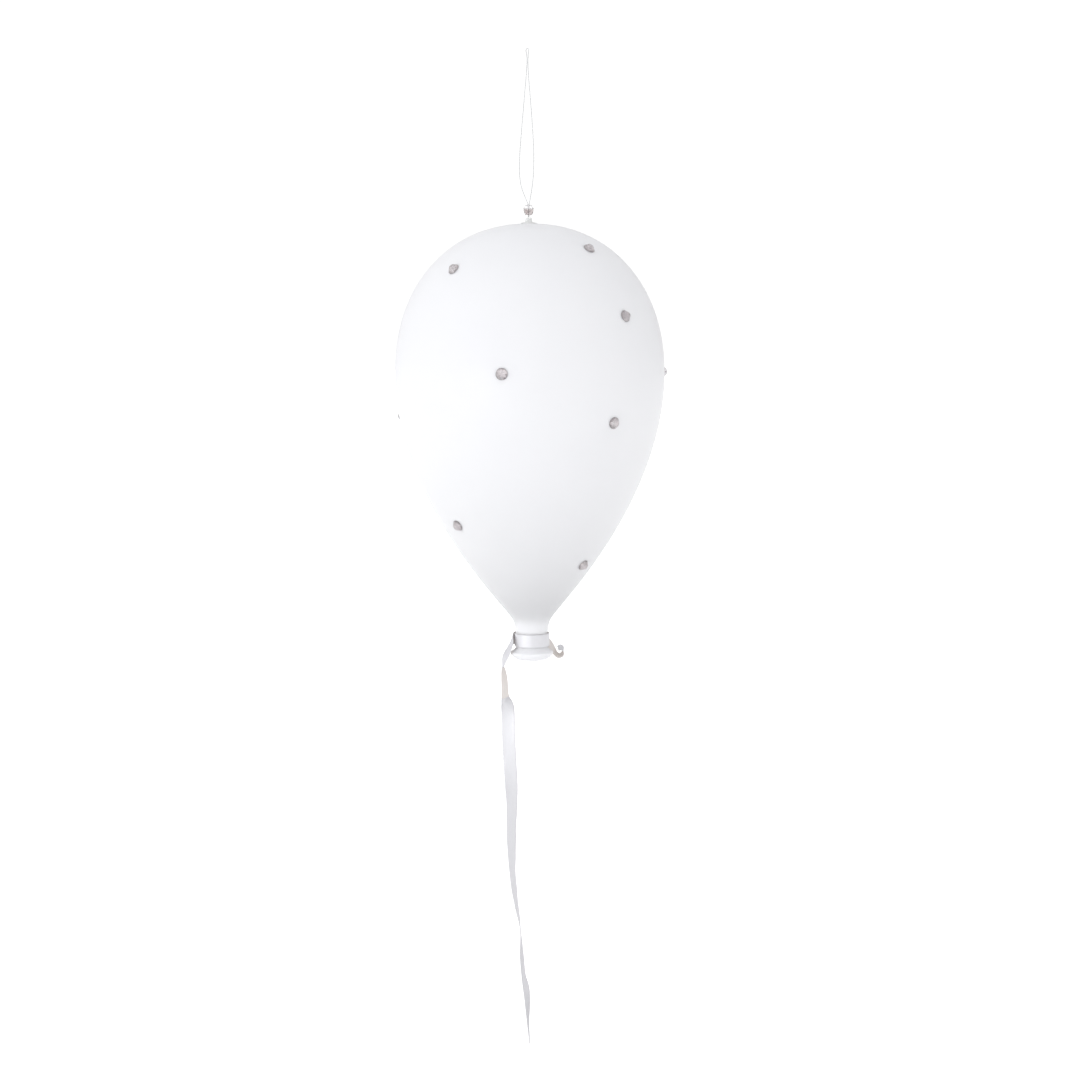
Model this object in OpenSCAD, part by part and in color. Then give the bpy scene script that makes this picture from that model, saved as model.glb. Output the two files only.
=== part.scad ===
// Hanging balloon ornament: a blown glass balloon on a nylon loop, with flat-back crystals
// on its surface and a satin ribbon tied round its neck.
// The origin is the crown of the loop, where a hook bears. +Z is up, the front faces -Y.

/* [Balloon] */
// Radius at the widest place
balloon_r = 99.8; // [95:0.1:105]
// Height of the top of the glass, below the hook
top_z = -126.4; // [-128:0.1:-126.4]
// Height of the widest place
widest_z = -237; // [-245:1:-228]
// Height at which the tapering lower part would reach a point
taper_z = -434; // [-438:1:-430]
// Thickness of the blown wall
wall = 1.4; // [1:0.1:2]
// Fullness of the rounded top, 2 is an ellipse
top_fullness = 2.16; // [2:0.01:2.3]
// Fullness of the tapering lower part, 1 is a straight cone
taper_fullness = 1.91; // [1.6:0.01:2.1]

/* [Neck and mouth] */
// Outside radius of the neck
neck_r = 11.8; // [11.4:0.1:12]
// Radius of the open bore through the neck
bore_r = 10; // [9:0.1:10.2]
// Height where the neck begins to flare
flare_z = -440.6; // [-441:0.1:-440.5]
// Radius of the rolled lip
lip_r = 16.1; // [15:0.1:16.5]
// Height of the widest part of the lip
lip_z = -445.4; // [-446:0.1:-445]
// Height of the bottom of the mouth
mouth_z = -450.6; // [-451:0.1:-450]

/* [Crystals] */
// Diameter of a crystal
crystal_d = 8.6; // [6:0.1:10]
// Height of a crystal above its flat back
crystal_h = 3.2; // [2:0.1:4]
// Depth of the ground seat that each crystal is glued into
seat_depth = 0.25; // [0.2:0.05:0.5]

/* [Hanger] */
// Diameter of the nylon line
line_d = 0.45; // [0.35:0.05:0.5]
// Widest diameter of the faceted bead
bead_d = 8; // [7:0.1:8.5]
// Radius of the flange of the clear sleeve
flange_r = 6; // [5:0.1:7]

/* [Ribbon] */
// Width of the satin ribbon
ribbon_w = 10; // [8:0.5:11]
// Thickness of one layer of ribbon
ribbon_t = 0.4; // [0.3:0.05:0.5]
// Turns of ribbon wound round the neck
band_turns = 3; // [1:1:4]
// Clear gap between the neck and the ribbon tied round it
band_gap = 0.5; // [0.4:0.05:0.6]

/* [Hidden] */
$fn = 96;

// each crystal's bearing in degrees from the front towards +X, and its height
CRYSTALS = [
    [-44.5, -161], [44, -147], [46.5, -195], [-11, -234.5], [38, -270], [-50.5, -345], [51.5, -376],
    [118, -165], [-122, -178], [97, -236], [-99, -268], [164, -222], [-163, -292], [142, -322]
];

bead_top_z = -112.9;
girdle_z = -115.8;
bead_bottom_z = -120.4;
bend_z = -121.25;
sleeve_top_z = -122.1;
sleeve_end_z = -131.6;
sleeve_bore_r = 0.9;
strand_x = 0.3;
spigot_r = 2.7;
washer_r = 7;
washer_t = 1.2;
knot_r = 1.9;

neck_blend = 4;
band_top_z = -430.5;
band_in_r = neck_r + band_gap;
band_out_r = band_in_r + band_turns * ribbon_t;

// The loop's centre line in the XZ plane: up the left strand from the bottom of the bead,
// round the crown, and down the right strand.
LOOP_ROUTE = [
    [-0.3, -120.8], [-0.3, -117.5], [-0.3, -114.5], [-0.8, -111.5], [-2.5, -107], [-4.6, -101.5],
    [-6, -95], [-6.5, -87], [-6.2, -77], [-5.2, -64], [-3.9, -50], [-2.6, -36], [-1.4, -23],
    [-0.6, -14], [-0.33, -8.5], [-0.65, -4.2], [-1, -1.9], [-0.8, -0.4], [0, 0.22], [0.8, -0.4],
    [1, -1.9], [0.65, -4.2], [0.33, -8.5], [0.45, -14], [0.9, -23], [1.9, -36], [2.9, -50],
    [3.7, -64], [4.1, -77], [3.9, -87], [3.3, -95], [2.4, -102], [1.2, -108.5], [0.4, -112.5],
    [0.3, -115.5], [0.3, -120.8]
];

// Ribbon routes: each row is a point on the centre line and the direction of the ribbon's width.
STRAP_ROUTE = [
    [[-3, 15.2, -435.5], [0, 0, 1]],
    [[-9.6, 11.8, -435.5], [0.05, -0.03, 1]],
    [[-14.3, 5.4, -435.6], [0.18, -0.1, 0.97]],
    [[-15.7, -0.6, -437], [0.38, -0.34, 0.86]],
    [[-16.3, -3.1, -440.6], [0.46, -0.74, 0.48]],
    [[-18.3, -3.3, -445.2], [0.46, -0.87, 0.13]],
    [[-20.7, -1.5, -450], [0.38, -0.92, 0]],
    [[-22, -0.2, -455], [0.17, -0.98, 0]]
];
SHORT_END_ROUTE = [
    [[3, 15.3, -436], [0, 0.05, 1]],
    [[7, 15.9, -437.6], [0.1, 0.3, 0.95]],
    [[11.2, 16.4, -440.8], [0.3, 0.7, 0.6]],
    [[15, 14.9, -444.7], [0.32, 0.92, 0.25]],
    [[17.6, 13.3, -448.1], [0.18, 0.96, 0.18]],
    [[20.2, 12.2, -449.8], [0.05, 0.96, 0.25]],
    [[22.8, 11.7, -449], [0, 0.95, 0.31]],
    [[24.1, 11.4, -446.9], [0, 0.95, 0.31]],
    [[23.5, 11.3, -444.7], [0, 0.95, 0.31]],
    [[21.5, 11.3, -443.7], [0, 0.95, 0.31]],
    [[19.7, 11.3, -444.6], [0, 0.95, 0.31]]
];
// The hanging tail, as [x, y, z, angle]: the angle turns the ribbon's width from +X towards +Y.
TAIL_UPPER_ROUTE = [
    [-22, 0, -456.6, 83], [-21.5, 0, -460, 72], [-20.9, 0, -466, 64], [-20.6, 0, -472, 62],
    [-20.5, 0, -477, 60], [-20.3, 0, -480.4, 54]
];
TAIL_LOWER_ROUTE = [
    [-19.9, 0, -482, 44], [-19, 0, -485, 26], [-18.4, 0, -490, 6], [-18.2, 0, -498, -8],
    [-18.1, 0, -509, -10], [-17.7, 0, -520, -8], [-17.2, 0, -531, -2], [-16.7, 0, -541, 8],
    [-16.3, 0, -550, 20], [-16.1, 0, -558, 30], [-16.1, 0, -567, 37], [-16.5, 0, -582, 46],
    [-16.6, 0, -594, 50], [-16.3, 0, -604, 55], [-16, 0, -613, 62], [-15.2, 0, -623, 67],
    [-14.2, 0, -633, 72], [-12.8, 0, -643, 77], [-10.8, 0, -654, 84], [-10, 0, -663, 88],
    [-9.7, 0, -676, 77], [-9, 0, -688, 73], [-8, 0, -697, 70], [-6.2, 0, -706, 64],
    [-5.4, 0, -715, 66], [-5.2, 0, -724, 74], [-5, 0, -733, 80], [-4.2, 0, -743, 86],
    [-3.9, 0, -750.5, 88]
];

function smooth_max(a, b, k) = (a + b + sqrt((a - b) * (a - b) + k * k)) / 2;

// half profile of the rounded top, from the widest place to the axis, as [radius, height]
function top_points(inset, steps) = [
    for (i = [0:steps])
        let (a = 90 * i / steps)
        [
            (balloon_r - inset) * pow(cos(a), 2 / top_fullness),
            widest_z + (top_z - inset - widest_z) * pow(sin(a), 2 / top_fullness)
        ]
];

// radius of the tapering part at a height, blended into a neck of the given radius
function taper_radius(z, inset, neck) =
    smooth_max(
        (balloon_r - inset) * (1 - pow((widest_z - z) / (widest_z - taper_z), taper_fullness)),
        neck,
        neck_blend
    );

function taper_points(inset, neck, end_z, steps) = [
    for (i = [0:steps - 1])
        let (z = end_z + (widest_z - end_z) * i / steps)
        [taper_radius(z, inset, neck), z]
];

// radius of the outside of the glass at any height above the neck
function outer_radius(z) =
    z > widest_z
        ? balloon_r * pow(1 - pow((z - widest_z) / (top_z - widest_z), top_fullness), 1 / top_fullness)
        : taper_radius(z, 0, neck_r);

// how far the surface faces upwards at a height, in degrees
function surface_tilt(z) = atan(outer_radius(z - 0.5) - outer_radius(z + 0.5));

flare_steps = 6;
function flare_points() = [
    for (i = [flare_steps:-1:1])
        let (t = i / flare_steps)
        [neck_r + (lip_r - 0.4 - neck_r) * t * t, flare_z + (lip_z + 0.7 - flare_z) * t]
];

lip_fullness = 1.5;
lip_steps = 8;
function lip_points() = [
    for (i = [lip_steps:-1:0])
        let (a = 90 * i / lip_steps)
        [
            bore_r + (lip_r - bore_r) * pow(cos(a), 2 / lip_fullness),
            lip_z + (mouth_z - lip_z) * pow(sin(a), 2 / lip_fullness)
        ]
];

neck_end_z = -428;
shell_steps = 22;
module shell_outside() {
    rotate_extrude()
        polygon(concat(
            [[0, mouth_z]],
            lip_points(),
            flare_points(),
            [[neck_r, flare_z], [neck_r + 0.1, band_top_z + 0.4]],
            taper_points(0, neck_r, neck_end_z, shell_steps),
            top_points(0, shell_steps)
        ));
}

module shell_inside() {
    rotate_extrude()
        polygon(concat(
            [[0, mouth_z - 1], [bore_r, mouth_z - 1], [bore_r, neck_end_z - 4]],
            taper_points(wall, bore_r, neck_end_z, shell_steps),
            top_points(wall, shell_steps)
        ));
}

// carries its children to a crystal's place, with +Z pointing out of the glass
module at_crystal(n) {
    bearing = CRYSTALS[n - 1][0];
    z = CRYSTALS[n - 1][1];
    r = outer_radius(z);
    translate([r * sin(bearing), -r * cos(bearing), z])
        rotate([0, 90 - surface_tilt(z), bearing - 90])
            translate([0, 0, -seat_depth])
                children();
}

module balloon_shell() {
    hole_r = 3;
    flange_seat = 0.25;
    color("ghostwhite")
        difference() {
            shell_outside();
            shell_inside();
            translate([0, 0, top_z - wall - 2]) cylinder(r = hole_r, h = wall + 4);
            translate([0, 0, top_z - flange_seat]) cylinder(r = flange_r + 0.2, h = 2);
            for (n = [1:len(CRYSTALS)])
                at_crystal(n) cylinder(d = crystal_d + 0.2, h = 3);
        }
}

module crystal(n) {
    girdle_h = 0.8;
    table_r = 0.52 * crystal_d / 2;
    color("gainsboro")
        at_crystal(n) {
            cylinder(d = crystal_d, h = girdle_h, $fn = 12);
            translate([0, 0, girdle_h])
                cylinder(r1 = crystal_d / 2, r2 = table_r, h = crystal_h - girdle_h, $fn = 12);
        }
}

module top_bead() {
    facets = 10;
    girdle_h = 0.7;
    color("silver")
        difference() {
            hull() {
                translate([0, 0, bead_top_z - 0.2]) cylinder(r = 2.1, h = 0.2, $fn = facets);
                translate([0, 0, girdle_z]) cylinder(d = bead_d, h = girdle_h, $fn = facets);
                translate([0, 0, bead_bottom_z + 1.6]) cylinder(r = 3.2, h = 0.2, $fn = facets);
                translate([0, 0, bead_bottom_z]) cylinder(r = 2.3, h = 0.2, $fn = facets);
            }
            translate([0, 0, bead_bottom_z - 1]) cylinder(r = sleeve_bore_r, h = 10, $fn = 32);
        }
}

module hanger_sleeve() {
    seat_z = top_z - 0.25;
    stem_r = 2.4;
    color("whitesmoke")
        rotate_extrude()
            polygon([
                [sleeve_bore_r, sleeve_top_z], [1.8, sleeve_top_z], [stem_r - 0.1, sleeve_top_z - 0.6],
                [stem_r, seat_z + 2.2], [stem_r + 0.5, seat_z + 1.6], [flange_r - 0.5, seat_z + 1.2],
                [flange_r, seat_z + 0.8], [flange_r, seat_z], [spigot_r, seat_z],
                [spigot_r, sleeve_end_z], [sleeve_bore_r, sleeve_end_z]
            ]);
}

module retaining_washer() {
    washer_top_z = top_z - wall - 0.35;
    color("silver")
        translate([0, 0, washer_top_z - washer_t])
            difference() {
                cylinder(r = washer_r, h = washer_t);
                translate([0, 0, -1]) cylinder(r = spigot_r + 0.05, h = washer_t + 2);
            }
}

module strands(low_z, high_z) {
    for (side = [-1, 1])
        translate([side * strand_x, 0, low_z])
            cylinder(d = line_d, h = high_z - low_z, $fn = 16);
}

module line_bend() {
    color("lightgray") strands(bend_z - 0.35, bend_z + 0.35);
}

module line_lower() {
    color("lightgray") strands(sleeve_end_z - 1.2, sleeve_top_z + 0.15);
}

module line_knot() {
    knot_z = sleeve_end_z - 0.3 - knot_r;
    color("lightgray") {
        translate([0, 0, knot_z]) sphere(r = knot_r, $fn = 32);
        for (side = [-1, 1])
            translate([side * 0.8, 0, knot_z])
                rotate([0, side * 150, 0]) cylinder(d = line_d, h = 5, $fn = 16);
    }
}

// ---- sweeps

// point between b and c on a smooth curve through a, b, c and d
function smooth_point(a, b, c, d, t) =
    0.5 * (2 * b + (c - a) * t + (2 * a - 5 * b + 4 * c - d) * t * t
        + (3 * b - a - 3 * c + d) * t * t * t);

function smooth_route(route, steps) = concat(
    [
        for (i = [0:len(route) - 2], s = [0:steps - 1])
            smooth_point(
                route[max(i - 1, 0)], route[i], route[i + 1], route[min(i + 2, len(route) - 1)],
                s / steps
            )
    ],
    [route[len(route) - 1]]
);

function unit(v) = v / norm(v);

function tangent(points, i) = unit(points[min(i + 1, len(points) - 1)] - points[max(i - 1, 0)]);

// faces of a closed sweep of rings that have the same number of corners
function sweep_faces(rings, corners) = concat(
    [[for (k = [corners - 1:-1:0]) k]],
    [
        for (i = [0:rings - 2], k = [0:corners - 1])
            let (n = (k + 1) % corners)
            each [
                [i * corners + k, i * corners + n, (i + 1) * corners + n],
                [i * corners + k, (i + 1) * corners + n, (i + 1) * corners + k]
            ]
    ],
    [[for (k = [0:corners - 1]) (rings - 1) * corners + k]]
);

module hanging_loop() {
    sides = 8;
    steps = 2;
    points = smooth_route([for (p = LOOP_ROUTE) [p[0], 0, p[1]]], steps);
    across = [0, 1, 0];
    corners = [
        for (i = [0:len(points) - 1])
            let (out = cross(tangent(points, i), across))
            for (k = [0:sides - 1])
                points[i] + line_d / 2 * (cos(360 * k / sides) * out + sin(360 * k / sides) * across)
    ];
    color("lightgray") polyhedron(corners, sweep_faces(len(points), sides), convexity = 10);
}

// faces of a closed flat strip: both wide sides are split along the same diagonal
function strip_faces(rings) = concat(
    [[3, 2, 1, 0]],
    [
        for (i = [0:rings - 2], k = [0:3])
            let (a = 4 * i + k, b = 4 * i + (k + 1) % 4, flipped = k == 2)
            each [
                [a, b, flipped ? a + 4 : b + 4],
                [flipped ? b : a, b + 4, a + 4]
            ]
    ],
    [[for (k = [0:3]) 4 * (rings - 1) + k]]
);

// a flat strip swept along points, with the direction of its width at each one
module strip(points, widths) {
    corners = [
        for (i = [0:len(points) - 1])
            let (
                along = tangent(points, i),
                face = unit(cross(along, widths[i])),
                wide = cross(face, along) * ribbon_w / 2,
                thick = face * ribbon_t / 2
            )
            each [
                points[i] - wide - thick, points[i] + wide - thick,
                points[i] + wide + thick, points[i] - wide + thick
            ]
    ];
    color("white") polyhedron(corners, strip_faces(len(points)), convexity = 10);
}

module vector_strip(route) {
    steps = 3;
    points = smooth_route([for (row = route) row[0]], steps);
    widths = smooth_route([for (row = route) row[1]], steps);
    strip(points, widths);
}

module angle_strip(route) {
    steps = 2;
    rows = smooth_route(route, steps);
    strip(
        [for (row = rows) [row[0], row[1], row[2]]],
        [for (row = rows) [cos(row[3]), sin(row[3]), 0]]
    );
}

// ---- ribbon

module ribbon_band() {
    color("white")
        translate([0, 0, band_top_z - ribbon_w])
            difference() {
                cylinder(r = band_out_r, h = ribbon_w);
                translate([0, 0, -1]) cylinder(r = band_in_r, h = ribbon_w + 2);
            }
}

module ribbon_knot() {
    knot_y = band_out_r + 1.7;
    color("white")
        hull()
            for (x = [-2.4, 2.4], z = [-433.1, -437.9])
                translate([x, knot_y, z]) sphere(r = 1.9, $fn = 16);
}

module ribbon_strap() vector_strip(STRAP_ROUTE);
module ribbon_short_end() vector_strip(SHORT_END_ROUTE);
module ribbon_tail_upper() angle_strip(TAIL_UPPER_ROUTE);
module ribbon_tail_lower() angle_strip(TAIL_LOWER_ROUTE);

hanging_loop();
top_bead();
line_bend();
line_lower();
line_knot();
hanger_sleeve();
retaining_washer();
balloon_shell();
crystal(1);  // crystal_01
crystal(2);  // crystal_02
crystal(3);  // crystal_03
crystal(4);  // crystal_04
crystal(5);  // crystal_05
crystal(6);  // crystal_06
crystal(7);  // crystal_07
crystal(8);  // crystal_08
crystal(9);  // crystal_09
crystal(10);  // crystal_10
crystal(11);  // crystal_11
crystal(12);  // crystal_12
crystal(13);  // crystal_13
crystal(14);  // crystal_14
ribbon_band();
ribbon_knot();
ribbon_strap();
ribbon_short_end();
ribbon_tail_upper();
ribbon_tail_lower();
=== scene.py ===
"""Looks for the hanging balloon ornament: satin white glass, cut crystals, nylon line and ribbon.

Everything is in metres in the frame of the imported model: the origin is the crown of the loop,
+Z is up and the front faces -Y. Lengths below are written in millimetres times MM.
"""

import math
import random

import bmesh
import bpy
from mathutils import Matrix, Vector


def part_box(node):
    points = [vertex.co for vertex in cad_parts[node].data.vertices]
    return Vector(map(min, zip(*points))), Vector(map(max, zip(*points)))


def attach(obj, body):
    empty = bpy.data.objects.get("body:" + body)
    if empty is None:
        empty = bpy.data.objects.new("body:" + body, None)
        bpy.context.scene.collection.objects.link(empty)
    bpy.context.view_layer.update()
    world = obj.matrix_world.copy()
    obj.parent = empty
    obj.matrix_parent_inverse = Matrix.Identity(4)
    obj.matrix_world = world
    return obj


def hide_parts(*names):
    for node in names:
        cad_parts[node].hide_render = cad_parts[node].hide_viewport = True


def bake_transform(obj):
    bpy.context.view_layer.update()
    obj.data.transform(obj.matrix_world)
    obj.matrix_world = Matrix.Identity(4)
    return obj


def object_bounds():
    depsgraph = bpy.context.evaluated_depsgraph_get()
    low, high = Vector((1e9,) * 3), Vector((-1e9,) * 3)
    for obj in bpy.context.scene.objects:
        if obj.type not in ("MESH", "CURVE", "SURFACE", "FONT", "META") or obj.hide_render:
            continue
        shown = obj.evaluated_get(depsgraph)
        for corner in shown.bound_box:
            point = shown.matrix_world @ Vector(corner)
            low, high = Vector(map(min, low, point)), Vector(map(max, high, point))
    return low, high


MM = 0.001

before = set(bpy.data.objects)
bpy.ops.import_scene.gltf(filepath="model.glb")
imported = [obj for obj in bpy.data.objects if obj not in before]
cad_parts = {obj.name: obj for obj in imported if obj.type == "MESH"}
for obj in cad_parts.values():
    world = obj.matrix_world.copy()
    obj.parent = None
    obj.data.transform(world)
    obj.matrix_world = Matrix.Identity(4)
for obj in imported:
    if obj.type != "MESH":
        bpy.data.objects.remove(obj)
cad_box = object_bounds()

# ---- sizes shared with the model ----

BALLOON_R = 99.8 * MM
TOP_Z = -126.4 * MM
WIDEST_Z = -237 * MM
TAPER_Z = -434 * MM
WALL = 1.4 * MM
TOP_FULLNESS = 2.16
TAPER_FULLNESS = 1.91
NECK_R = 11.8 * MM
BORE_R = 10 * MM
NECK_BLEND = 4 * MM
NECK_END_Z = -428 * MM
FLARE_Z = -440.6 * MM
LIP_R = 16.1 * MM
LIP_Z = -445.4 * MM
MOUTH_Z = -450.6 * MM
LIP_FULLNESS = 1.5

CRYSTAL_D = 8.6 * MM
CRYSTAL_H = 3.2 * MM
SEAT_DEPTH = 0.25 * MM
# the silvered back lies just above the glass, so that the shell does not hide it
FOIL_LIFT = 0.02 * MM
WEDGES = 16
# bearing in degrees from the front towards +X, and height in millimetres
CRYSTALS = [
    (-44.5, -161), (44, -147), (46.5, -195), (-11, -234.5), (38, -270), (-50.5, -345), (51.5, -376),
    (118, -165), (-122, -178), (97, -236), (-99, -268), (164, -222), (-163, -292), (142, -322),
]

HANGER_HOLE_R = 3 * MM
SLEEVE_SEAT_R = 6.2 * MM
SLEEVE_SEAT = 0.25 * MM

BEAD_R = 4 * MM
BEAD_BORE_R = 0.9 * MM
BEAD_TOP_Z = -112.9 * MM
BEAD_BOTTOM_Z = -120.4 * MM
GIRDLE_TOP_Z = -115.2 * MM
GIRDLE_BOTTOM_Z = -115.8 * MM

LINE_D = 0.45 * MM
STRAND_X = 0.3 * MM
# the two strands side by side, from inside the bead down to where the line bends; the middle
# height parts what stays in the bead from what stretches below it
DOUBLED_LINE_Z = (-120.9 * MM, -120.3 * MM, -114.6 * MM)

RIBBON_W = 10 * MM
RIBBON_T = 0.3 * MM
RIBBON_COLUMNS = 14
BAND_TOP_Z = -430.5 * MM
BAND_IN_R = 12.1 * MM
BAND_OUT_R = 13.1 * MM
BAND_TURNS = 3

# ---- camera and light ----

CAMERA_AT = (0.0067, -1.5, -0.204)
CAMERA_AIM = (0.0067, 0, -0.3606)
CAMERA_ROLL = math.radians(0.4)
CAMERA_LENS = 67.19
CAMERA_SENSOR = 36

# the side the studio's light comes from, with the tints of its bright and its dim side
LIGHT_TOWARDS = (-0.4, -0.45, 0.8)
BRIGHT_SIDE = (1.18, 1.19, 1.21, 1)
DIM_SIDE = (0.40, 0.39, 0.38, 1)
BACKDROP = 1.05

FLOOR_R = 30
FLOOR_GAP = 0.06
FLOOR_GLOW = 0.6
# the light that the floor gives off grows between these distances from the spot under the balloon
BOUNCE = 0.45
BOUNCE_FROM = 0.15
BOUNCE_FULL = 0.7

KEY_AT = (-1.75, -1.85, -0.6)
KEY_AIM = (0, 0, -0.4)
KEY_SIZE = (2.4, 0.45)
KEY_POWER = 8
KEY_TINT = (0.97, 0.98, 1.0)

# ---- routes ----

# The line's centre: up the left strand from inside the bead, round the crown, down the right.
LOOP_ROUTE = [
    (-0.3, -115.5), (-0.3, -114.5), (-0.8, -111.5), (-2.5, -107), (-4.6, -101.5),
    (-6, -95), (-6.5, -87), (-6.2, -77), (-5.2, -64), (-3.9, -50), (-2.6, -36), (-1.4, -23),
    (-0.6, -14), (-0.33, -8.5), (-0.65, -4.2), (-1, -1.9), (-0.8, -0.4), (0, 0.22), (0.8, -0.4),
    (1, -1.9), (0.65, -4.2), (0.33, -8.5), (0.45, -14), (0.9, -23), (1.9, -36), (2.9, -50),
    (3.7, -64), (4.1, -77), (3.9, -87), (3.3, -95), (2.4, -102), (1.2, -108.5), (0.4, -112.5),
    (0.3, -115.5),
]

# Ribbon routes: a point on the centre line, and the direction of the ribbon's width there.
STRAP_ROUTE = [
    ((-3, 15.2, -435.5), (0, 0, 1)),
    ((-9.6, 11.8, -435.5), (0.05, -0.03, 1)),
    ((-14.3, 5.4, -435.6), (0.18, -0.1, 0.97)),
    ((-15.7, -0.6, -437), (0.38, -0.34, 0.86)),
    ((-16.3, -3.1, -440.6), (0.46, -0.74, 0.48)),
    ((-18.3, -3.3, -445.2), (0.46, -0.87, 0.13)),
    ((-20.7, -1.5, -450), (0.38, -0.92, 0)),
    ((-22, -0.2, -455), (0.17, -0.98, 0)),
]
SHORT_END_ROUTE = [
    ((3, 15.3, -436), (0, 0.05, 1)),
    ((7, 15.9, -437.6), (0.1, 0.3, 0.95)),
    ((11.2, 16.4, -440.8), (0.3, 0.7, 0.6)),
    ((15, 14.9, -444.7), (0.32, 0.92, 0.25)),
    ((17.6, 13.3, -448.1), (0.18, 0.96, 0.18)),
    ((20.2, 12.2, -449.8), (0.05, 0.96, 0.25)),
    ((22.8, 11.7, -449), (0, 0.95, 0.31)),
    ((24.1, 11.4, -446.9), (0, 0.95, 0.31)),
    ((23.5, 11.3, -444.7), (0, 0.95, 0.31)),
    ((21.5, 11.3, -443.7), (0, 0.95, 0.31)),
    ((19.7, 11.3, -444.6), (0, 0.95, 0.31)),
]
# The hanging tail: x, y, z, and the angle in degrees of the ribbon's width from +X towards +Y.
TAIL_UPPER_ROUTE = [
    (-22, 0, -456.6, 83), (-21.5, 0, -460, 72), (-20.9, 0, -466, 64), (-20.6, 0, -472, 62),
    (-20.5, 0, -477, 60), (-20.3, 0, -480.4, 54),
]
TAIL_LOWER_ROUTE = [
    (-19.9, 0, -482, 44), (-19, 0, -485, 26), (-18.4, 0, -490, 6), (-18.2, 0, -498, -8),
    (-18.1, 0, -509, -10), (-17.7, 0, -520, -8), (-17.2, 0, -531, -2), (-16.7, 0, -541, 8),
    (-16.3, 0, -550, 20), (-16.1, 0, -558, 30), (-16.1, 0, -567, 37), (-16.5, 0, -582, 46),
    (-16.6, 0, -594, 50), (-16.3, 0, -604, 55), (-16, 0, -613, 62), (-15.2, 0, -623, 67),
    (-14.2, 0, -633, 72), (-12.8, 0, -643, 77), (-10.8, 0, -654, 84), (-10, 0, -663, 88),
    (-9.7, 0, -676, 77), (-9, 0, -688, 73), (-8, 0, -697, 70), (-6.2, 0, -706, 64),
    (-5.4, 0, -715, 66), (-5.2, 0, -724, 74), (-5, 0, -733, 80), (-4.2, 0, -743, 86),
    (-3.9, 0, -750.5, 88),
]


# ---- curves and sweeps ----

def smooth_route(route, steps):
    """Points on a smooth curve through the route, with `steps` stretches between its points."""
    rows = [Vector(p) for p in route]
    last = len(rows) - 1
    out = []
    for i in range(last):
        a, b = rows[max(i - 1, 0)], rows[i]
        c, d = rows[i + 1], rows[min(i + 2, last)]
        for s in range(steps):
            t = s / steps
            out.append(0.5 * (
                2 * b + (c - a) * t + (2 * a - 5 * b + 4 * c - d) * t * t
                + (3 * b - a - 3 * c + d) * t * t * t
            ))
    out.append(rows[last])
    return out


def tangent(points, i):
    return (points[min(i + 1, len(points) - 1)] - points[max(i - 1, 0)]).normalized()


def new_object(name, bm, smooth=True):
    mesh = bpy.data.meshes.new(name)
    bmesh.ops.recalc_face_normals(bm, faces=bm.faces)
    bm.to_mesh(mesh)
    bm.free()
    for polygon in mesh.polygons:
        polygon.use_smooth = smooth
    obj = bpy.data.objects.new(name, mesh)
    bpy.context.scene.collection.objects.link(obj)
    return obj


def finish_piece(obj, materials, body=None, replaces=()):
    for material in materials if isinstance(materials, (list, tuple)) else [materials]:
        obj.data.materials.append(material)
    if body:
        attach(obj, body)
    if replaces:
        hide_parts(*replaces)
    return obj


def tube(name, points, radius, sides=12):
    """A round tube along points that lie in a plane of constant y, with closed ends."""
    bm = bmesh.new()
    across = Vector((0, 1, 0))
    rings = []
    for i, centre in enumerate(points):
        out = tangent(points, i).cross(across)
        rings.append([
            bm.verts.new(centre + radius * (
                math.cos(math.tau * k / sides) * out + math.sin(math.tau * k / sides) * across))
            for k in range(sides)
        ])
    for low, high in zip(rings, rings[1:]):
        for k in range(sides):
            n = (k + 1) % sides
            bm.faces.new((low[k], low[n], high[n], high[k]))
    bm.faces.new(rings[0][::-1])
    bm.faces.new(rings[-1])
    return new_object(name, bm)


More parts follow.
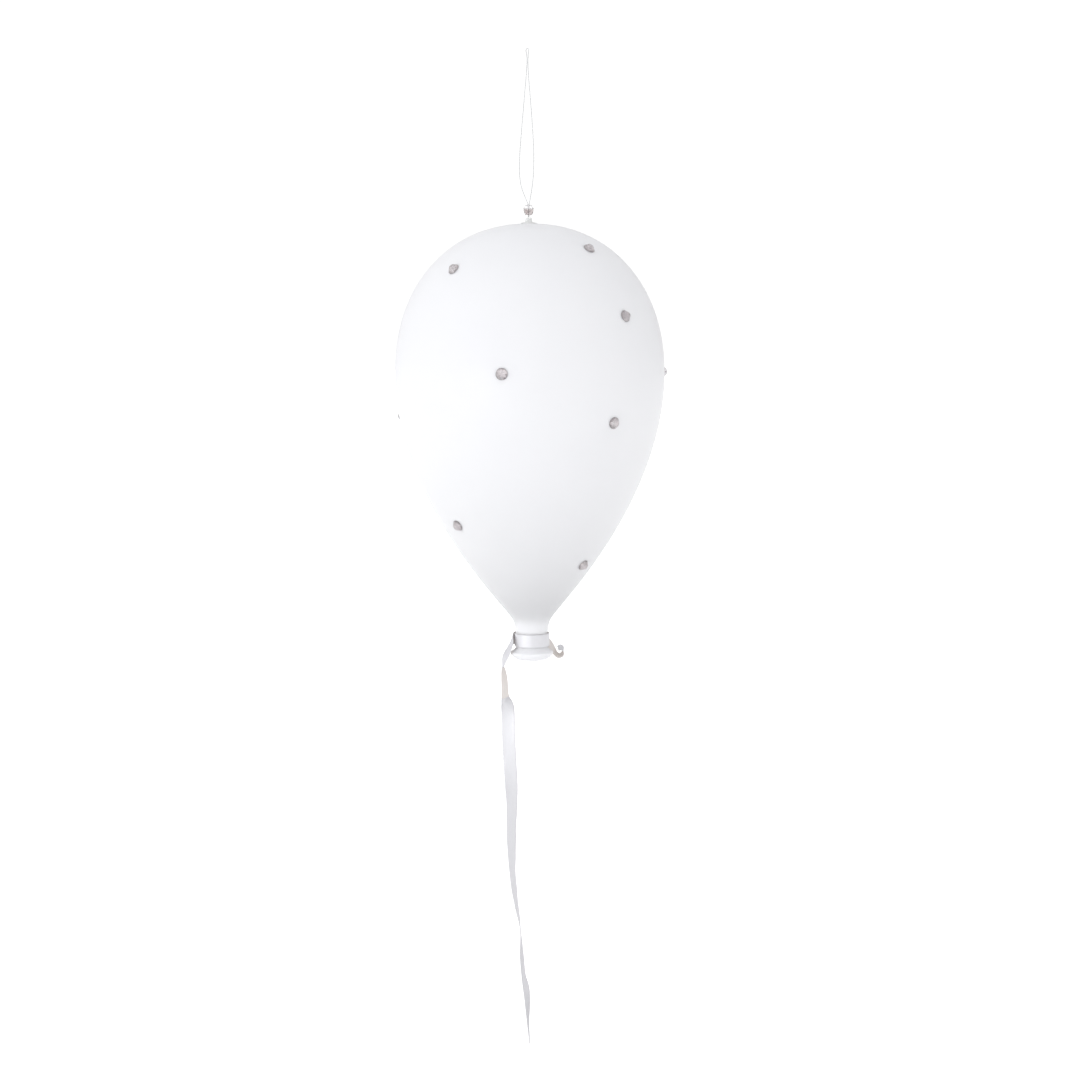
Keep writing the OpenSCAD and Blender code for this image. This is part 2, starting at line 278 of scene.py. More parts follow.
def ribbon(name, points, widths, width=RIBBON_W, cup=0.0, ripple=0.0, seed=1):
    """A strip of satin ribbon swept along points, with its width towards `widths`.

    cup bows the strip across its width, and ripple adds slow waves along its two edges.
    The UV map runs 0 to 1 across the strip and in ribbon widths along it. The side that the
    strip's face direction points to takes the second material.
    """
    long_wave, short_wave = 7 * MM, 3.1 * MM
    selvedge, body_share, rim_share = 0.9, 0.72, 0.5
    waves = random.Random(seed)
    phases = [waves.uniform(0, math.tau) for _ in range(4)]
    bm = bmesh.new()
    uv = bm.loops.layers.uv.new("ribbon")
    rings, along_widths, travelled = [], [], 0.0
    for i, centre in enumerate(points):
        along = tangent(points, i)
        face = along.cross(widths[i]).normalized()
        wide = face.cross(along)
        if i:
            travelled += (centre - points[i - 1]).length
        along_widths.append(travelled / RIBBON_W)
        ring = []
        for side in (-1, 1):
            columns = range(RIBBON_COLUMNS + 1)
            for k in columns if side < 0 else reversed(columns):
                u = 2 * k / RIBBON_COLUMNS - 1
                edge = abs(u) ** 3
                long_phase, short_phase = (phases[0], phases[2]) if u < 0 else (phases[1], phases[3])
                wave = (ripple * edge * math.sin(travelled / long_wave + long_phase)
                        + 0.5 * ripple * edge * math.sin(travelled / short_wave + short_phase))
                half_t = RIBBON_T / 2 * (1.0 if selvedge < abs(u) < 1 else body_share)
                if abs(u) == 1:
                    half_t *= rim_share
                lift = cup * (1 - u * u) + wave + side * half_t
                ring.append(bm.verts.new(centre + wide * (u * width / 2) + face * lift))
        rings.append(ring)
    count = len(rings[0])
    for i, (low, high) in enumerate(zip(rings, rings[1:])):
        for k in range(count):
            n = (k + 1) % count
            quad = bm.faces.new((low[k], low[n], high[n], high[k]))
            quad.material_index = 1 if k > RIBBON_COLUMNS else 0
            for loop, (column, row) in zip(quad.loops, ((k, i), (n, i), (n, i + 1), (k, i + 1))):
                column = column if column <= RIBBON_COLUMNS else count - 1 - column
                loop[uv].uv = (column / RIBBON_COLUMNS, along_widths[row])
    for ring in (rings[0][::-1], rings[-1]):
        half = count // 2
        for k in range(half - 1):
            bm.faces.new((ring[k], ring[k + 1], ring[count - 2 - k], ring[count - 1 - k]))
    return new_object(name, bm)


def lathe(name, profile, segments=192):
    """A closed ring of profile points (radius, height) turned round the Z axis."""
    bm = bmesh.new()
    rings = [
        [bm.verts.new((r * math.cos(math.tau * k / segments), r * math.sin(math.tau * k / segments), z))
         for k in range(segments)]
        for r, z in profile
    ]
    for low, high in zip(rings, rings[1:] + rings[:1]):
        for k in range(segments):
            n = (k + 1) % segments
            bm.faces.new((low[k], low[n], high[n], high[k]))
    return new_object(name, bm)


# ---- the balloon's outline ----

def smooth_max(a, b, k):
    return (a + b + math.sqrt((a - b) ** 2 + k * k)) / 2


def dome_point(turn, inset):
    """Point on the rounded top: turn 0 is the widest place, 1 the axis."""
    a = turn * math.pi / 2
    r = (BALLOON_R - inset) * max(math.cos(a), 0) ** (2 / TOP_FULLNESS)
    z = WIDEST_Z + (TOP_Z - inset - WIDEST_Z) * math.sin(a) ** (2 / TOP_FULLNESS)
    return r, z


def dome_height(r):
    return WIDEST_Z + (TOP_Z - WIDEST_Z) * (1 - (r / BALLOON_R) ** TOP_FULLNESS) ** (1 / TOP_FULLNESS)


def taper_radius(z, inset, neck):
    share = (WIDEST_Z - z) / (WIDEST_Z - TAPER_Z)
    return smooth_max((BALLOON_R - inset) * (1 - share ** TAPER_FULLNESS), neck, NECK_BLEND)


def outer_radius(z):
    if z > WIDEST_Z:
        share = (z - WIDEST_Z) / (TOP_Z - WIDEST_Z)
        return BALLOON_R * (1 - share ** TOP_FULLNESS) ** (1 / TOP_FULLNESS)
    return taper_radius(z, 0, NECK_R)


def surface_tilt(z):
    step = 0.5 * MM
    return math.atan2(outer_radius(z - step) - outer_radius(z + step), 2 * step)


def shell_profile():
    """The glass in half section: down the outside, round the lip and up the inside."""
    hole_r, seat_r = HANGER_HOLE_R, SLEEVE_SEAT_R
    seat_z, seat_edge_r = TOP_Z - SLEEVE_SEAT, seat_r * 1.1
    points = [(hole_r, TOP_Z - WALL), (hole_r, seat_z), (seat_r, seat_z)]
    points += [(seat_r, dome_height(seat_r)), (seat_edge_r, dome_height(seat_edge_r))]
    dome_steps, taper_steps, neck_steps, flare_steps, lip_steps = 56, 72, 4, 12, 14
    for i in range(dome_steps):
        r, z = dome_point(1 - i / dome_steps, 0)
        if r > seat_r * 1.3:
            points.append((r, z))
    for i in range(taper_steps + 1):
        z = WIDEST_Z + (NECK_END_Z - WIDEST_Z) * i / taper_steps
        points.append((taper_radius(z, 0, NECK_R), z))
    neck_last, under_band = points[-1][0], NECK_R + 0.1 * MM
    band_edge_z = BAND_TOP_Z + 0.4 * MM
    for i in range(1, neck_steps + 1):
        t = i / neck_steps
        points.append((neck_last + (under_band - neck_last) * math.sin(t * math.pi / 2),
                       NECK_END_Z + (band_edge_z - NECK_END_Z) * t))
    points.append((NECK_R, FLARE_Z))
    flare_r, flare_end_z = LIP_R - 0.4 * MM, LIP_Z + 0.7 * MM
    for i in range(1, flare_steps + 1):
        t = i / flare_steps
        points.append((NECK_R + (flare_r - NECK_R) * t * t, FLARE_Z + (flare_end_z - FLARE_Z) * t))
    for i in range(lip_steps + 1):
        a = i / lip_steps * math.pi / 2
        points.append((BORE_R + (LIP_R - BORE_R) * max(math.cos(a), 0) ** (2 / LIP_FULLNESS),
                       LIP_Z + (MOUTH_Z - LIP_Z) * math.sin(a) ** (2 / LIP_FULLNESS)))
    inner = []
    for i in range(taper_steps + 1):
        z = WIDEST_Z + (NECK_END_Z - WIDEST_Z) * i / taper_steps
        inner.append((taper_radius(z, WALL, BORE_R), z))
    points += inner[::-1]
    for i in range(1, dome_steps):
        r, z = dome_point(i / dome_steps, WALL)
        if r > hole_r * 1.6:
            points.append((r, z))
    return points


# ---- materials ----

def principled(name, **values):
    """A material whose constant values sit on the shader's own sockets."""
    material = bpy.data.materials.new(name)
    material.use_nodes = True
    shader = material.node_tree.nodes["Principled BSDF"]
    for key, value in values.items():
        shader.inputs[key.replace("_", " ")].default_value = value
    return material, material.node_tree, shader


def node(tree, kind, **values):
    made = tree.nodes.new(kind)
    for key, value in values.items():
        if hasattr(made, key):
            setattr(made, key, value)
        else:
            made.inputs[key.replace("_", " ")].default_value = value
    return made


def colour_ramp(tree, factor, stops):
    ramp = node(tree, "ShaderNodeValToRGB")
    elements = ramp.color_ramp.elements
    while len(elements) < len(stops):
        elements.new(0.5)
    for element, (place, colour) in zip(elements, stops):
        element.position = place
        element.color = (*colour, 1)
    tree.links.new(factor, ramp.inputs["Fac"])
    return ramp


def noise(tree, scale, detail=3.0, coordinates="Object"):
    place = node(tree, "ShaderNodeTexCoord")
    made = node(tree, "ShaderNodeTexNoise", Scale=scale, Detail=detail)
    tree.links.new(place.outputs[coordinates], made.inputs["Vector"])
    return made


def bump(tree, shader, height, distance, strength=1.0):
    made = node(tree, "ShaderNodeBump", Strength=strength, Distance=distance)
    tree.links.new(height, made.inputs["Height"])
    tree.links.new(made.outputs["Normal"], shader.inputs["Normal"])
    return made


def opal_glass():
    """White glass with an acid-satin skin: cloudy in depth, very fine grain on the surface."""
    material, tree, shader = principled(
        "opal_glass", Roughness=0.42, Specular_IOR_Level=0.25, Coat_Weight=0.1, Coat_Roughness=0.3,
        Subsurface_Weight=0.5, Subsurface_Radius=(1, 1, 1), Subsurface_Scale=3 * MM)
    cloud = noise(tree, 9.0, 4.0)
    ramp = colour_ramp(tree, cloud.outputs["Fac"], [
        (0.3, (0.80, 0.80, 0.82)), (0.7, (0.82, 0.82, 0.835))])
    tree.links.new(ramp.outputs["Color"], shader.inputs["Base Color"])
    grain = noise(tree, 2600.0, 2.0)
    bump(tree, shader, grain.outputs["Fac"], 0.02 * MM, 0.35)
    return material


def satin(name, edge_tone, tone, roughness, shine):
    """Woven satin: fine warp floats along the ribbon, faint slubs, and a firmer edge."""
    material, tree, shader = principled(
        name, Roughness=roughness, Specular_IOR_Level=shine, IOR=2.3, Anisotropic=0.6)
    place = node(tree, "ShaderNodeTexCoord")
    split = node(tree, "ShaderNodeSeparateXYZ")
    tree.links.new(place.outputs["UV"], split.inputs["Vector"])
    edge = node(tree, "ShaderNodeMath", operation="PINGPONG")
    edge.inputs[1].default_value = 0.5
    tree.links.new(split.outputs["X"], edge.inputs[0])
    near_edge = tuple(0.35 * a + 0.65 * b for a, b in zip(edge_tone, tone))
    selvedge = colour_ramp(tree, edge.outputs["Value"], [
        (0.0, edge_tone), (0.05, near_edge), (0.1, tone)])
    slub_map = node(tree, "ShaderNodeMapping")
    slub_map.inputs["Scale"].default_value = (60, 3, 1)
    tree.links.new(place.outputs["UV"], slub_map.inputs["Vector"])
    slub = node(tree, "ShaderNodeTexNoise", Scale=1.0, Detail=3.0)
    tree.links.new(slub_map.outputs["Vector"], slub.inputs["Vector"])
    slub_ramp = colour_ramp(tree, slub.outputs["Fac"], [(0.3, (0.93, 0.93, 0.94)), (0.7, (1, 1, 1))])
    mix = node(tree, "ShaderNodeMix", data_type="RGBA", blend_type="MULTIPLY")
    mix.inputs["Factor"].default_value = 1.0
    tree.links.new(selvedge.outputs["Color"], mix.inputs["A"])
    tree.links.new(slub_ramp.outputs["Color"], mix.inputs["B"])
    tree.links.new(mix.outputs["Result"], shader.inputs["Base Color"])
    across = node(tree, "ShaderNodeTangent", direction_type="UV_MAP", uv_map="ribbon")
    tree.links.new(across.outputs["Tangent"], shader.inputs["Tangent"])
    weave_map = node(tree, "ShaderNodeMapping")
    weave_map.inputs["Scale"].default_value = (55, 14, 1)
    tree.links.new(place.outputs["UV"], weave_map.inputs["Vector"])
    weave = node(tree, "ShaderNodeTexBrick", Scale=1.0)
    for socket, value in (("Color1", (1, 1, 1, 1)), ("Color2", (0.8, 0.8, 0.8, 1)),
                          ("Mortar", (0.2, 0.2, 0.2, 1)), ("Mortar Size", 0.06),
                          ("Mortar Smooth", 0.5)):
        weave.inputs[socket].default_value = value
    tree.links.new(weave_map.outputs["Vector"], weave.inputs["Vector"])
    bump(tree, shader, weave.outputs["Color"], 0.03 * MM, 0.4)
    return material


def nylon():
    """Clear single-strand nylon, a little cloudy along its length."""
    material, tree, shader = principled(
        "nylon_line", Roughness=0.25, IOR=1.53, Transmission_Weight=0.35)
    streak = noise(tree, 900.0, 2.0)
    ramp = colour_ramp(tree, streak.outputs["Fac"], [(0.3, (0.60, 0.61, 0.62)), (0.7, (0.70, 0.71, 0.72))])
    tree.links.new(ramp.outputs["Color"], shader.inputs["Base Color"])
    return material


def clear_plastic():
    """Clear moulded plastic with a faint haze."""
    material, tree, shader = principled(
        "clear_plastic", Roughness=0.3, IOR=1.3, Transmission_Weight=0.25)
    haze = noise(tree, 400.0, 3.0)
    ramp = colour_ramp(tree, haze.outputs["Fac"], [(0.3, (0.90, 0.91, 0.89)), (0.7, (0.95, 0.95, 0.94))])
    tree.links.new(ramp.outputs["Color"], shader.inputs["Base Color"])
    return material


def cut_glass(name, low, high):
    """Clear cut glass; low and high are the two ends of its streaks of tint."""
    material, tree, shader = principled(
        name, Roughness=0.03, IOR=1.56, Transmission_Weight=0.9, Coat_Weight=0.2)
    streak = noise(tree, 260.0, 2.0)
    ramp = colour_ramp(tree, streak.outputs["Fac"], [(0.35, low), (0.65, high)])
    tree.links.new(ramp.outputs["Color"], shader.inputs["Base Color"])
    return material


def foil_with_painted_glints():
    """Silvered back of a crystal with painted light on it: wedges in two depths of painted glint and shade
    for the crown's facets, and a darker rim of painted shade.
    """
    rings_per_width = 5.0
    material, tree, shader = principled("crystal_foil_painted_glints_and_shade", Metallic=1.0, Roughness=0.45)
    place = node(tree, "ShaderNodeTexCoord")
    centred = node(tree, "ShaderNodeVectorMath", operation="SUBTRACT")
    centred.inputs[1].default_value = (0.5, 0.5, 0)
    tree.links.new(place.outputs["UV"], centred.inputs[0])
    split = node(tree, "ShaderNodeSeparateXYZ")
    tree.links.new(centred.outputs["Vector"], split.inputs["Vector"])
    bearing = node(tree, "ShaderNodeMath", operation="ARCTAN2")
    tree.links.new(split.outputs["Y"], bearing.inputs[0])
    tree.links.new(split.outputs["X"], bearing.inputs[1])
    reach = node(tree, "ShaderNodeVectorMath", operation="LENGTH")
    tree.links.new(centred.outputs["Vector"], reach.inputs[0])
    cell = node(tree, "ShaderNodeCombineXYZ")
    for source, scale, socket in ((bearing.outputs["Value"], WEDGES / math.tau, "X"),
                                  (reach.outputs["Value"], rings_per_width, "Y")):
        step = node(tree, "ShaderNodeMath", operation="MULTIPLY")
        step.inputs[1].default_value = scale
        tree.links.new(source, step.inputs[0])
        whole = node(tree, "ShaderNodeMath", operation="FLOOR")
        tree.links.new(step.outputs["Value"], whole.inputs[0])
        tree.links.new(whole.outputs["Value"], cell.inputs[socket])
    piece = node(tree, "ShaderNodeObjectInfo")
    tree.links.new(piece.outputs["Random"], cell.inputs["Z"])
    glint = node(tree, "ShaderNodeTexWhiteNoise", noise_dimensions="3D")
    tree.links.new(cell.outputs["Vector"], glint.inputs["Vector"])
    # painted glints: each wedge takes a random light or dark tone, standing in for the crown's facets
    # reflecting bright and dim surroundings
    painted_wedge_glints = colour_ramp(tree, glint.outputs["Value"], [
        (0.0, (0.46, 0.42, 0.42)), (0.45, (0.58, 0.54, 0.54)), (0.55, (0.68, 0.64, 0.63)),
        (1.0, (0.82, 0.79, 0.78))])
    # painted shade: the foil darkens towards its rim, standing in for the dark ring that refraction gives
    # round each crystal
    painted_rim_shade = colour_ramp(tree, reach.outputs["Value"], [
        (0.0, (1.0, 1.0, 1.0)), (0.33, (0.95, 0.92, 0.92)), (0.42, (0.78, 0.74, 0.74)),
        (0.5, (0.72, 0.68, 0.68))])
    mix = node(tree, "ShaderNodeMix", data_type="RGBA", blend_type="MULTIPLY")
    mix.inputs["Factor"].default_value = 1.0
    tree.links.new(painted_wedge_glints.outputs["Color"], mix.inputs["A"])
    tree.links.new(painted_rim_shade.outputs["Color"], mix.inputs["B"])
    tree.links.new(mix.outputs["Result"], shader.inputs["Base Color"])
    return material


def brushed_steel():
    """Plain stamped steel with fine streaks."""
    material, tree, shader = principled("washer_steel", Metallic=1.0, Roughness=0.35)
    streak = noise(tree, 1500.0, 2.0)
    ramp = colour_ramp(tree, streak.outputs["Fac"], [(0.3, (0.55, 0.55, 0.56)), (0.7, (0.68, 0.68, 0.69))])
    tree.links.new(ramp.outputs["Color"], shader.inputs["Base Color"])
    return material


# ---- camera ----

def aim_camera():
    """The ornament is looked at from a little above its middle, 1.5 m in front of it."""
    position, roll = Vector(CAMERA_AT), CAMERA_ROLL
    forward = (Vector(CAMERA_AIM) - position).normalized()
    right = forward.cross(Vector((0, 0, 1))).normalized()
    up = right.cross(forward)
    right, up = (right * math.cos(roll) - up * math.sin(roll),
                 right * math.sin(roll) + up * math.cos(roll))
    turn = Matrix((right, up, -forward)).transposed()
    data = bpy.data.cameras.new("camera")
    data.lens = CAMERA_LENS
    data.sensor_width = CAMERA_SENSOR
    camera = bpy.data.objects.new("camera", data)
    camera.matrix_world = Matrix.Translation(position) @ turn.to_4x4()
    bpy.context.scene.collection.objects.link(camera)
    bpy.context.scene.camera = camera


# ---- pieces ----

def make_loop(material):
    """The nylon line above the bead, and its two strands side by side from the bead down.

    As the bead is pushed up, the loop above it shortens and the doubled stretch below it grows.
    """
    points = smooth_route([(x * MM, 0, z * MM) for x, z in LOOP_ROUTE], 5)
    loop = tube("nylon_loop", points, LINE_D / 2)
    finish_piece(loop, material, None, ["hanging_loop"])
    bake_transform(loop)
    bm = bmesh.new()
    for x in (-STRAND_X, STRAND_X):
        for low, high in zip(DOUBLED_LINE_Z, DOUBLED_LINE_Z[1:]):
            bmesh.ops.create_cone(
                bm, cap_ends=True, segments=12, radius1=LINE_D / 2, radius2=LINE_D / 2,
                depth=high - low, matrix=Matrix.Translation((x, 0, (low + high) / 2)))
    bmesh.ops.remove_doubles(bm, verts=bm.verts, dist=0.001 * MM)
    doubled = new_object("nylon_doubled_line", bm)
    finish_piece(doubled, material, None, ["hanging_loop"])
    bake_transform(doubled)


def make_strap_and_tail(material):
    """The ribbon from the knot over the lip, and the first stretch of the hanging tail."""
    strap_points = [tuple(c * MM for c in p) for p, _ in STRAP_ROUTE]
    strap_widths = [w for _, w in STRAP_ROUTE]
    upper_points = [(x * MM, y * MM, z * MM) for x, y, z, _ in TAIL_UPPER_ROUTE]
    upper_widths = [(-math.cos(math.radians(a)), -math.sin(math.radians(a)), 0)
                    for *_, a in TAIL_UPPER_ROUTE]
    points = smooth_route(strap_points + upper_points, 6)
    widths = smooth_route(strap_widths + upper_widths, 6)
    strap = ribbon("ribbon_strap_and_fold", points, widths, cup=0.3 * MM, seed=3)
    finish_piece(strap, material[::-1], None, ["ribbon_strap", "ribbon_tail_upper"])
    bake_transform(strap)
    return points[-1]


def make_tail(material):
    """The long hanging end. It starts a little above the crease, to lap over the first stretch."""
    route = [(-20.4, 0, -479.6, 56)] + TAIL_LOWER_ROUTE
    rows = smooth_route([(x * MM, y * MM, z * MM) for x, y, z, _ in route], 5)
    angles = smooth_route([(a, 0, 0) for *_, a in route], 5)
    widths = [Vector((-math.cos(math.radians(a.x)), -math.sin(math.radians(a.x)), 0)) for a in angles]
    tail = ribbon("ribbon_tail", rows, widths, cup=0.35 * MM, ripple=0.15 * MM, seed=8)
    finish_piece(tail, material, None, ["ribbon_tail_lower"])
    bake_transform(tail)


def make_short_end(material):
    """The short end of the ribbon, from the knot round the right of the lip to its curl."""
    points = smooth_route([tuple(c * MM for c in p) for p, _ in SHORT_END_ROUTE], 6)
    widths = smooth_route([w for _, w in SHORT_END_ROUTE], 6)
    end = ribbon("ribbon_short_end_curl", points, widths, cup=0.1 * MM, seed=5)
    finish_piece(end, material, "ribbon_collar", ["ribbon_short_end"])


def make_band(material):
    """Three turns of ribbon wound tight round the neck, with a few soft upright creases."""
    steps = 330
    points, widths = [], []
    middle_z = BAND_TOP_Z - RIBBON_W / 2
    for i in range(steps + 1):
        t = i / steps
        angle = math.pi / 2 + math.tau * BAND_TURNS * t
        crease = 0.1 * MM * math.sin(5 * angle + 0.6) + 0.06 * MM * math.sin(11 * angle)
        r = BAND_IN_R + (BAND_OUT_R - BAND_IN_R) * t + crease * t
        points.append(Vector((r * math.cos(angle), r * math.sin(angle), middle_z)))
        widths.append(Vector((0, 0, 1)))
    band = ribbon("ribbon_band_turns", points, widths, seed=11)
    finish_piece(band, material[::-1], "ribbon_collar", ["ribbon_band"])


def make_knot(material):
    """The tied knot at the back: a pleated cushion of ribbon, drawn in at its middle."""
    rows, columns, roundness = 40, 56, 0.72
    low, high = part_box("ribbon_knot")
    centre = (Vector(low) + Vector(high)) / 2
    half = (Vector(high) - Vector(low)) / 2
    bm = bmesh.new()
    uv = bm.loops.layers.uv.new("ribbon")

    def rounded(v):
        return math.copysign(abs(v) ** roundness, v)

    def place(row, column):
        lat = math.pi * (row / rows - 0.5)
        lon = math.tau * column / columns
        x = rounded(math.cos(lat)) * rounded(math.cos(lon))
        y = rounded(math.cos(lat)) * rounded(math.sin(lon))
        z = rounded(math.sin(lat))
        pleat = 1 - 0.09 * (0.5 + 0.5 * math.cos(13 * x + 2.2 * z)) * (1 - z * z)
        waist = 1 - 0.16 * math.exp(-(x * 2.6) ** 2)
        return centre + Vector((x * half.x * 0.98, y * half.y * pleat, z * half.z * waist))

    verts = [[bm.verts.new(place(r, c)) for c in range(columns)] for r in range(1, rows)]
    poles = [bm.verts.new(place(0, 0)), bm.verts.new(place(rows, 0))]
    for r, (low_row, high_row) in enumerate(zip(verts, verts[1:])):
        for c in range(columns):
            n = (c + 1) % columns
            quad = bm.faces.new((low_row[c], low_row[n], high_row[n], high_row[c]))
            for loop, (a, b) in zip(quad.loops, ((c, r), (c + 1, r), (c + 1, r + 1), (c, r + 1))):
                loop[uv].uv = (0.1 + 0.8 * b / rows, a / columns * 2)
    for pole, ring in zip(poles, (verts[0][::-1], verts[-1])):
        for c in range(columns):
            bm.faces.new((ring[c], ring[(c + 1) % columns], pole))
    knot = new_object("ribbon_knot_pleated", bm)
    finish_piece(knot, material, "ribbon_collar", ["ribbon_knot"])


def facet_rings(bm, rings, corners):
    """Facets between rings of (radius, height, phase) with the same number of corners."""
    made = [
        [bm.verts.new((r * math.cos(math.tau * (k + phase) / corners),
                       r * math.sin(math.tau * (k + phase) / corners), z)) for k in range(corners)]
        for r, z, phase in rings
    ]
    for (low, high), (a, b) in zip(zip(made, made[1:]), zip(rings, rings[1:])):
        shift = b[2] - a[2]
        for k in range(corners):
            n = (k + 1) % corners
            if shift == 0:
                bm.faces.new((low[k], low[n], high[n], high[k]))
            elif shift > 0:
                bm.faces.new((low[k], low[n], high[k]))
                bm.faces.new((low[n], high[n], high[k]))
            else:
                bm.faces.new((low[k], high[n], high[k]))
                bm.faces.new((low[k], low[n], high[n]))
    return made


def make_bead(crown_material, pavilion_painted_shade_material):
    """Cut glass bead: two rows of facets above its girdle, two below, and a drilled bore."""
    corners = 10
    bm = bmesh.new()
    rings = [
        (BEAD_BORE_R, BEAD_BOTTOM_Z, 0), (2.3 * MM, BEAD_BOTTOM_Z, 0), (3.35 * MM, -118.5 * MM, 0.5),
        (BEAD_R, GIRDLE_BOTTOM_Z, 0), (BEAD_R, GIRDLE_TOP_Z, 0), (3.3 * MM, -113.9 * MM, 0.5),
        (2.1 * MM, BEAD_TOP_Z, 0), (BEAD_BORE_R, BEAD_TOP_Z, 0),
    ]
    made = facet_rings(bm, rings, corners)
    for k in range(corners):
        n = (k + 1) % corners
        bm.faces.new((made[-1][k], made[-1][n], made[0][n], made[0][k]))
    bead = new_object("cut_glass_bead", bm, smooth=False)
    finish_piece(bead, crown_material, "bead", ["top_bead"])
    # the facets below the girdle take a darker copy of the bead's glass: painted shade on the bead's
    # underside
    bead.data.materials.append(pavilion_painted_shade_material)
    for polygon in bead.data.polygons:
        if polygon.center.z < GIRDLE_BOTTOM_Z and polygon.center.xy.length > 1.0 * MM:
            polygon.material_index = 1


def make_crystal(number, crown_material, foil_painted_glints_material):
    """A flat-backed brilliant: eight-fold crown, thin girdle and a silvered back."""
    bearing, height = CRYSTALS[number - 1]
    bearing, z = math.radians(bearing), height * MM
    r = CRYSTAL_D / 2
    folds = 8
    bm = bmesh.new()
    uv = bm.loops.layers.uv.new("crystal")

    def ring(radius, level, count, phase):
        return [bm.verts.new((radius * math.cos(math.tau * (k + phase) / count),
                              radius * math.sin(math.tau * (k + phase) / count), level))
                for k in range(count)]

    back = ring(0.96 * r, SEAT_DEPTH + FOIL_LIFT, 2 * folds, 0)
    low = ring(r, 0.45 * MM, 2 * folds, 0)
    girdle = ring(r, 0.85 * MM, 2 * folds, 0)
    middle = ring(0.79 * r, 2.0 * MM, folds, 0.5)
    table = ring(0.54 * r, CRYSTAL_H, folds, 0)
    for lower, upper in ((back, low), (low, girdle)):
        for k in range(2 * folds):
            n = (k + 1) % (2 * folds)
            bm.faces.new((lower[k], lower[n], upper[n], upper[k]))
    for k in range(folds):
        n = (k + 1) % folds
        a, b, c = girdle[2 * k], girdle[2 * k + 1], girdle[(2 * k + 2) % (2 * folds)]
        bm.faces.new((a, b, middle[k]))
        bm.faces.new((b, c, middle[k]))
        bm.faces.new((table[n], table[k], middle[k]))
        bm.faces.new((table[k], middle[k - 1], a, middle[k]))
    bm.faces.new(table)
    bm.faces.new(back[::-1])
    for face in bm.faces:
        for loop in face.loops:
            loop[uv].uv = (0.5 + loop.vert.co.x / (2 * r), 0.5 + loop.vert.co.y / (2 * r))
    surface_r = outer_radius(z)
    # local +Z points out of the glass
    turn = Matrix.Rotation(bearing - math.pi / 2, 4, "Z") @ Matrix.Rotation(
        math.pi / 2 - surface_tilt(z), 4, "Y")
    where = Matrix.Translation((surface_r * math.sin(bearing), -surface_r * math.cos(bearing), z))
    bm.transform(where @ turn @ Matrix.Translation((0, 0, -SEAT_DEPTH)))
    name = f"crystal_{number:02d}"
    crystal = new_object(name + "_cut", bm, smooth=False)
    finish_piece(crystal, crown_material, "balloon", [name])
    # the crystal's back takes the foil with painted glints and a painted dark rim
    crystal.data.materials.append(foil_painted_glints_material)
    crystal.data.polygons[len(crystal.data.polygons) - 1].material_index = 1


def make_shell(material):
    """The blown shell, in one piece from the hole at its top to the rolled lip."""
    shell = lathe("balloon_blown_shell", shell_profile())
    finish_piece(shell, material, "balloon", ["balloon_shell"])


def make_sleeve(material):
    """Clear moulded sleeve: rounded top, waisted stem and a thin flange with a soft rim."""
    seat = (TOP_Z - SLEEVE_SEAT) / MM
    profile = [
        (0.9, -131.6), (0.9, -122.3), (1.0, -122.12), (1.3, -122.1), (1.8, -122.15), (2.15, -122.35),
        (2.3, -122.7), (2.35, -123.4), (2.42, seat + 2.2), (2.6, seat + 1.75), (3.0, seat + 1.4),
        (3.6, seat + 1.2), (4.6, seat + 1.05), (5.5, seat + 0.9), (5.85, seat + 0.7), (6.0, seat + 0.45),
        (5.95, seat + 0.15), (5.8, seat), (2.7, seat), (2.7, -131.3), (2.45, -131.6),
    ]
    sleeve = lathe("clear_sleeve", [(r * MM, z * MM) for r, z in profile], segments=96)
    finish_piece(sleeve, material, "balloon", ["hanger_sleeve"])


def dress_node(name, material):
    """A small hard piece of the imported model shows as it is, in its own material."""
    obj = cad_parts[name]
    obj.data.materials.clear()
    obj.data.materials.append(material)


# ---- studio ----

def studio_world():
    """Cool light from above, left and front that fades to dimmer, warmer light opposite.

    The camera itself sees plain white behind the ornament.
    """
    world = bpy.data.worlds.new("studio")
    bpy.context.scene.world = world
    world.use_nodes = True
    tree = world.node_tree
    place = node(tree, "ShaderNodeTexCoord")
    towards = node(tree, "ShaderNodeVectorMath", operation="DOT_PRODUCT")
    towards.inputs[1].default_value = LIGHT_TOWARDS
    tree.links.new(place.outputs["Generated"], towards.inputs[0])
    share = node(tree, "ShaderNodeMapRange")
    share.inputs["From Min"].default_value = -1
    tree.links.new(towards.outputs["Value"], share.inputs["Value"])
    light = node(tree, "ShaderNodeMix", data_type="RGBA")
    light.inputs["A"].default_value = DIM_SIDE
    light.inputs["B"].default_value = BRIGHT_SIDE
    tree.links.new(share.outputs["Result"], light.inputs["Factor"])
    lighting = tree.nodes["Background"]
    tree.links.new(light.outputs["Result"], lighting.inputs["Color"])
    backdrop = node(tree, "ShaderNodeBackground", Color=(1, 1, 1, 1), Strength=BACKDROP)
    path = node(tree, "ShaderNodeLightPath")
    choice = node(tree, "ShaderNodeMixShader")
    tree.links.new(path.outputs["Is Camera Ray"], choice.inputs["Fac"])
    tree.links.new(lighting.outputs["Background"], choice.inputs[1])
    tree.links.new(backdrop.outputs["Background"], choice.inputs[2])
    tree.links.new(choice.outputs["Shader"], tree.nodes["World Output"].inputs["Surface"])


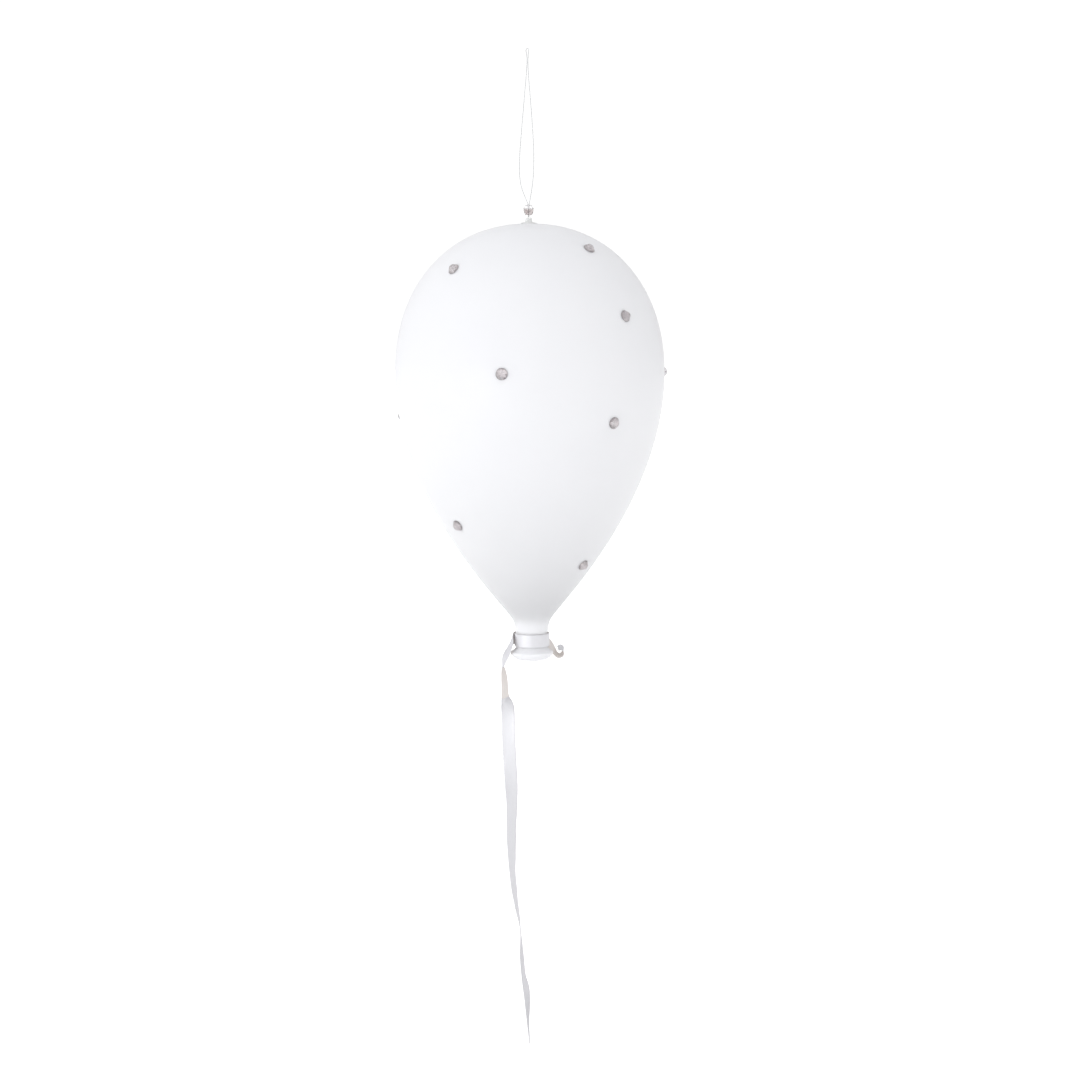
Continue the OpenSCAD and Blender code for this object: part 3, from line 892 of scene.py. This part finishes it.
def make_floor():
    """A wide pale floor under the hanging ornament.

    The light it gives off is weakest right under the ornament, so the lip keeps its outline.
    """
    bm = bmesh.new()
    bmesh.ops.create_circle(bm, cap_ends=True, segments=96, radius=FLOOR_R)
    floor = new_object("floor", bm, smooth=False)
    floor.location.z = cad_box[0][2] - FLOOR_GAP
    material, tree, shader = principled(
        "pale_floor", Roughness=0.9, Base_Color=(0.8, 0.8, 0.8, 1), Emission_Color=(1, 1, 1, 1))
    path = node(tree, "ShaderNodeLightPath")
    place = node(tree, "ShaderNodeTexCoord")
    spread = node(tree, "ShaderNodeVectorMath", operation="LENGTH")
    tree.links.new(place.outputs["Object"], spread.inputs[0])
    bounce = node(tree, "ShaderNodeMapRange")
    for socket, value in (("From Min", BOUNCE_FROM), ("From Max", BOUNCE_FULL), ("To Max", BOUNCE)):
        bounce.inputs[socket].default_value = value
    tree.links.new(spread.outputs["Value"], bounce.inputs["Value"])
    glow = node(tree, "ShaderNodeMapRange")
    glow.inputs["To Max"].default_value = FLOOR_GLOW
    tree.links.new(bounce.outputs["Result"], glow.inputs["To Min"])
    tree.links.new(path.outputs["Is Camera Ray"], glow.inputs["Value"])
    tree.links.new(glow.outputs["Result"], shader.inputs["Emission Strength"])
    floor.data.materials.append(material)


def make_key_light():
    """A wide, low softbox at the front left, which gives the satin its bright strip."""
    data = bpy.data.lights.new("key", "AREA")
    data.color = KEY_TINT
    data.shape = "RECTANGLE"
    data.size, data.size_y = KEY_SIZE
    data.energy = KEY_POWER
    light = bpy.data.objects.new("key", data)
    light.location = KEY_AT
    aim = Vector(KEY_AIM) - Vector(KEY_AT)
    light.rotation_euler = aim.to_track_quat("-Z", "Y").to_euler()
    bpy.context.scene.collection.objects.link(light)


aim_camera()
line_material = nylon()
satin_material = (
    satin("white_satin", (0.55, 0.545, 0.57), (0.59, 0.585, 0.615), 0.34, 1.0),
    # the matte back of the ribbon: its lower shine is real, its warm beige tint is painted warm shade for
    # the shaded faces where the back shows, such as the upper tail
    satin("white_satin_reverse_painted_warm_shade", (0.72, 0.68, 0.65), (0.80, 0.755, 0.72), 0.6, 0.15),
)
make_loop(line_material)
make_strap_and_tail(satin_material)
make_tail(satin_material)
make_short_end(satin_material)
make_band(satin_material)
make_knot(satin_material)
make_shell(opal_glass())
make_sleeve(clear_plastic())
crown = cut_glass("crystal_crown", (0.90, 0.88, 0.92), (0.97, 0.96, 0.97))
# crystal backs: silver foil with painted glints and painted rim shade
silvering_with_painted_glints = foil_with_painted_glints()
for crystal_number in range(1, len(CRYSTALS) + 1):
    make_crystal(crystal_number, crown, silvering_with_painted_glints)
make_bead(cut_glass("bead_crown", (0.93, 0.93, 0.94), (0.98, 0.98, 0.98)),
          # below the girdle the same glass, darker: painted shade
          cut_glass("bead_pavilion_painted_shade", (0.55, 0.45, 0.44), (0.86, 0.80, 0.79)))
for line_node in ("line_bend", "line_lower", "line_knot"):
    dress_node(line_node, line_material)
dress_node("retaining_washer", brushed_steel())
studio_world()
make_floor()
make_key_light()
bpy.context.scene.view_settings.view_transform = "Standard"
